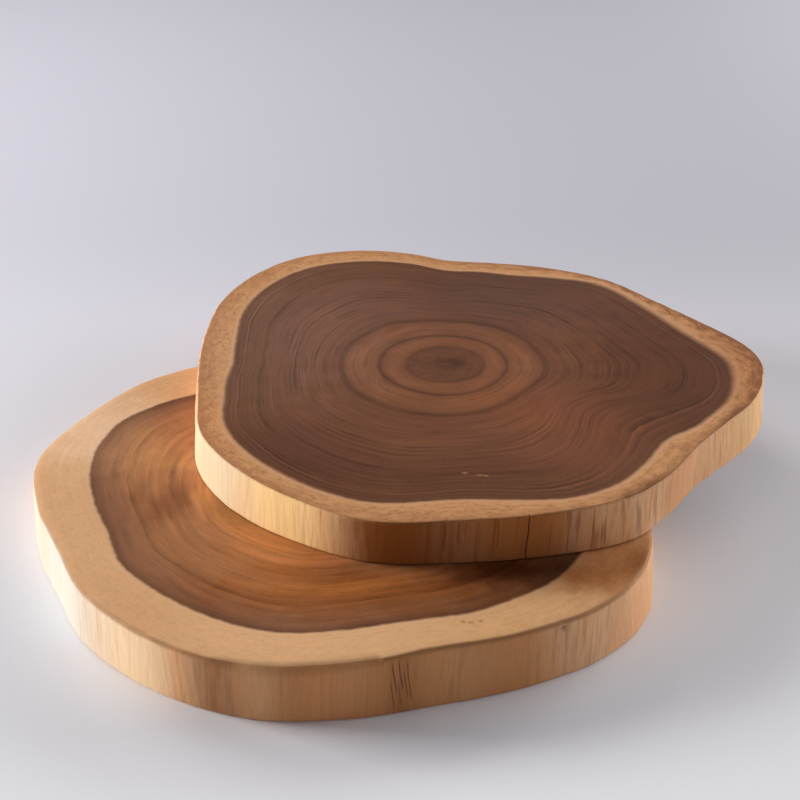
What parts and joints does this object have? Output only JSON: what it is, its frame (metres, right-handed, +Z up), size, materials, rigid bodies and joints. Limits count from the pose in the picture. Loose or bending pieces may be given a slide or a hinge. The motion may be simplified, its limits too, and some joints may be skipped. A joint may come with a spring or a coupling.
{
  "type": "stump cutting board pair",
  "caption": "Live-edge cutting boards, each a flat cross-cut slice of a small trunk with dark heartwood in a pale sapwood ring, one lying loose on the other.",
  "frame": {"origin": "on the underside of the lower board, under its pith, at table level", "axes": "+Z up through the boards' thickness, +Y away from the viewer along the way the upper board is set back, +X to the right"},
  "size_m": [0.3999, 0.4236, 0.0543],
  "materials": {
    "pale_slice": "sanded and oiled end grain, warm brown heartwood in a broad pale sapwood ring",
    "dark_slice": "sanded and oiled end grain, dark brown heartwood in a narrow tan sapwood ring"
  },
  "bodies": {
    "lower_board": {"lower_board": "pale_slice"},
    "upper_board": {"upper_board": "dark_slice"}
  },
  "joints": [
    {"name": "upper_board_lift", "type": "slide", "parent": "lower_board", "child": "upper_board", "axis": [0, 0, 1], "range_m": [0, 0.15]}
  ]
}
